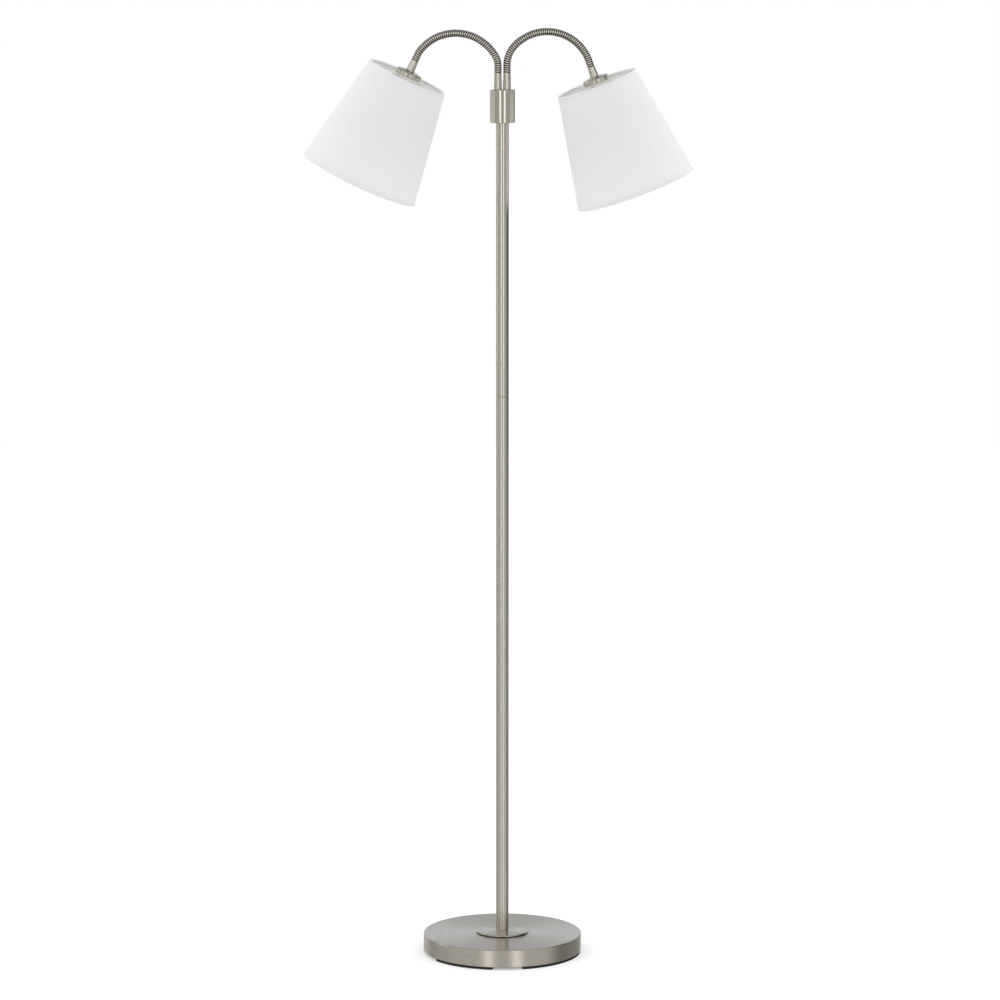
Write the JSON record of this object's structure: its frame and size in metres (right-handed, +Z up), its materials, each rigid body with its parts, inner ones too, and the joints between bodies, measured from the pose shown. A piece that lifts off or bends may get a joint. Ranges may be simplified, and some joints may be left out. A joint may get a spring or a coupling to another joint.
{
  "type": "twin-arm gooseneck floor lamp",
  "caption": "Floor lamp with a weighted disc base, a straight pole and ribbed flexible arms that hold conical fabric shades over reading height.",
  "frame": {"origin": "on the floor, on the pole axis, under the middle of the disc base", "axes": "+Z up along the pole; +X to the right, towards the right-hand shade; -Y is the front, +Y the back, where the cord gland is"},
  "size_m": [0.5806, 0.2435, 1.401],
  "materials": {
    "satin_nickel": "satin, fine brushing",
    "cast_iron": "rough cast, sprayed black",
    "black_plate": "matt black paint",
    "zinc_steel": "zinc plated",
    "pad_rubber": "matt",
    "black_nylon": "moulded",
    "fibre_washer": "pressed fibre",
    "lead_sheath": "extruded",
    "connector_plastic": "moulded",
    "white_thermoset": "pressed, slight gloss",
    "shade_fabric": "woven, laminated to a stiff liner",
    "white_wire": "powder coated",
    "bulb_metal": "drawn",
    "opal_glass": "opal"
  },
  "bodies": {
    "stand": {"base_cover": "satin_nickel", "base_weight": "cast_iron", "base_plate": "black_plate", "plate_screws": "zinc_steel", "foot_pads": "pad_rubber", "cable_gland": "black_nylon", "gland_nut": "black_nylon", "terminal_block": "connector_plastic", "pole_flange": "satin_nickel", "flange_seat": "fibre_washer", "pole_stud": "zinc_steel", "stud_nuts": "zinc_steel", "stud_washer": "zinc_steel", "pole_foot_plug": "zinc_steel", "lower_pole": "satin_nickel", "pole_coupler": "satin_nickel", "upper_pole": "satin_nickel", "pole_top_plug": "zinc_steel", "collar": "satin_nickel", "collar_cap": "satin_nickel", "collar_stud": "zinc_steel", "ferrule_nuts": "zinc_steel", "wire_connector": "connector_plastic", "pole_lead": "lead_sheath", "left_lower_ferrule": "satin_nickel", "left_arm_lead": "lead_sheath", "right_lower_ferrule": "satin_nickel", "right_arm_lead": "lead_sheath"},
    "left_arm_1": {"left_flex_1": "satin_nickel"},
    "left_arm_2": {"left_flex_2": "satin_nickel"},
    "left_arm_3": {"left_flex_3": "satin_nickel"},
    "left_arm_4": {"left_flex_4": "satin_nickel"},
    "left_arm_5": {"left_flex_5": "satin_nickel"},
    "left_arm_6": {"left_flex_6": "satin_nickel"},
    "left_arm_7": {"left_flex_7": "satin_nickel"},
    "left_head": {"left_upper_ferrule": "satin_nickel", "left_cup": "satin_nickel", "left_lampholder": "white_thermoset", "left_shade": "shade_fabric", "left_shade_frame": "white_wire", "left_shade_hem_ring": "white_wire", "left_shade_ring": "white_thermoset", "left_bulb_cap": "bulb_metal", "left_bulb_globe": "opal_glass"},
    "right_arm_1": {"right_flex_1": "satin_nickel"},
    "right_arm_2": {"right_flex_2": "satin_nickel"},
    "right_arm_3": {"right_flex_3": "satin_nickel"},
    "right_arm_4": {"right_flex_4": "satin_nickel"},
    "right_arm_5": {"right_flex_5": "satin_nickel"},
    "right_arm_6": {"right_flex_6": "satin_nickel"},
    "right_arm_7": {"right_flex_7": "satin_nickel"},
    "right_head": {"right_upper_ferrule": "satin_nickel", "right_cup": "satin_nickel", "right_lampholder": "white_thermoset", "right_shade": "shade_fabric", "right_shade_frame": "white_wire", "right_shade_hem_ring": "white_wire", "right_shade_ring": "white_thermoset", "right_bulb_cap": "bulb_metal", "right_bulb_globe": "opal_glass"}
  },
  "joints": [
    {"name": "left_swing", "type": "hinge", "parent": "stand", "child": "left_arm_1", "pos_m": [-0.0067, 0, 1.33515], "axis": [-0.9903, 0.1392, 0], "range_deg": [-11.25, 11.25], "deforming": ["left_arm_lead"]},
    {"name": "left_bend", "type": "hinge", "parent": "left_arm_1", "child": "left_arm_2", "pos_m": [-0.01041, 0.00052, 1.35948], "axis": [0.1392, 0.9903, 0], "range_deg": [-4.5, 12.5]},
    {"name": "left_swing_2", "type": "hinge", "parent": "left_arm_2", "child": "left_arm_3", "pos_m": [-0.02666, 0.00281, 1.37816], "axis": [-0.6138, 0.0863, -0.7847], "range_deg": [-11.25, 11.25]},
    {"name": "left_bend_2", "type": "hinge", "parent": "left_arm_3", "child": "left_arm_4", "pos_m": [-0.04842, 0.00586, 1.3898], "axis": [0.1392, 0.9903, 0], "range_deg": [-4.5, 12.5]},
    {"name": "left_swing_3", "type": "hinge", "parent": "left_arm_4", "child": "left_arm_5", "pos_m": [-0.07286, 0.0093, 1.3929], "axis": [0.0557, -0.0078, -0.9984], "range_deg": [-11.25, 11.25]},
    {"name": "left_bend_3", "type": "hinge", "parent": "left_arm_5", "child": "left_arm_6", "pos_m": [-0.09679, 0.01266, 1.38705], "axis": [0.1392, 0.9903, 0], "range_deg": [-4.5, 12.5]},
    {"name": "left_swing_4", "type": "hinge", "parent": "left_arm_6", "child": "left_arm_7", "pos_m": [-0.11712, 0.01552, 1.37301], "axis": [0.6972, -0.098, -0.7102], "range_deg": [-11.25, 11.25]},
    {"name": "left_bend_4", "type": "hinge", "parent": "left_arm_7", "child": "left_head", "pos_m": [-0.13028, 0.01737, 1.35208], "axis": [0.1392, 0.9903, 0], "range_deg": [-4.5, 12.5]},
    {"name": "right_swing", "type": "hinge", "parent": "stand", "child": "right_arm_1", "pos_m": [0.0067, 0, 1.33515], "axis": [-0.9903, -0.1392, 0], "range_deg": [-11.25, 11.25], "deforming": ["right_arm_lead"]},
    {"name": "right_bend", "type": "hinge", "parent": "right_arm_1", "child": "right_arm_2", "pos_m": [0.00966, 0.00042, 1.36147], "axis": [0.1392, -0.9903, 0], "range_deg": [-4.5, 12.5]},
    {"name": "right_swing_2", "type": "hinge", "parent": "right_arm_2", "child": "right_arm_3", "pos_m": [0.02611, 0.00273, 1.38192], "axis": [-0.5931, -0.0834, 0.8008], "range_deg": [-11.25, 11.25]},
    {"name": "right_bend_2", "type": "hinge", "parent": "right_arm_3", "child": "right_arm_4", "pos_m": [0.04983, 0.00606, 1.39333], "axis": [0.1392, -0.9903, 0], "range_deg": [-4.5, 12.5]},
    {"name": "right_swing_3", "type": "hinge", "parent": "right_arm_4", "child": "right_arm_5", "pos_m": [0.07606, 0.00975, 1.39462], "axis": [0.1469, 0.0206, 0.9889], "range_deg": [-11.25, 11.25]},
    {"name": "right_bend_3", "type": "hinge", "parent": "right_arm_5", "child": "right_arm_6", "pos_m": [0.10077, 0.01322, 1.38561], "axis": [0.1392, -0.9903, 0], "range_deg": [-4.5, 12.5]},
    {"name": "right_swing_4", "type": "hinge", "parent": "right_arm_6", "child": "right_arm_7", "pos_m": [0.12013, 0.01594, 1.36768], "axis": [0.7997, 0.1124, 0.5898], "range_deg": [-11.25, 11.25]},
    {"name": "right_bend_4", "type": "hinge", "parent": "right_arm_7", "child": "right_head", "pos_m": [0.13148, 0.01754, 1.34369], "axis": [0.1392, -0.9903, 0], "range_deg": [-4.5, 12.5]}
  ],
  "couplings": [
    {"joint": "left_swing_2", "follows": "left_swing", "ratio": 1},
    {"joint": "left_bend_2", "follows": "left_bend", "ratio": 1},
    {"joint": "left_swing_3", "follows": "left_swing", "ratio": 1},
    {"joint": "left_bend_3", "follows": "left_bend", "ratio": 1},
    {"joint": "left_swing_4", "follows": "left_swing", "ratio": 1},
    {"joint": "left_bend_4", "follows": "left_bend", "ratio": 1},
    {"joint": "right_swing_2", "follows": "right_swing", "ratio": 1},
    {"joint": "right_bend_2", "follows": "right_bend", "ratio": 1},
    {"joint": "right_swing_3", "follows": "right_swing", "ratio": 1},
    {"joint": "right_bend_3", "follows": "right_bend", "ratio": 1},
    {"joint": "right_swing_4", "follows": "right_swing", "ratio": 1},
    {"joint": "right_bend_4", "follows": "right_bend", "ratio": 1}
  ]
}
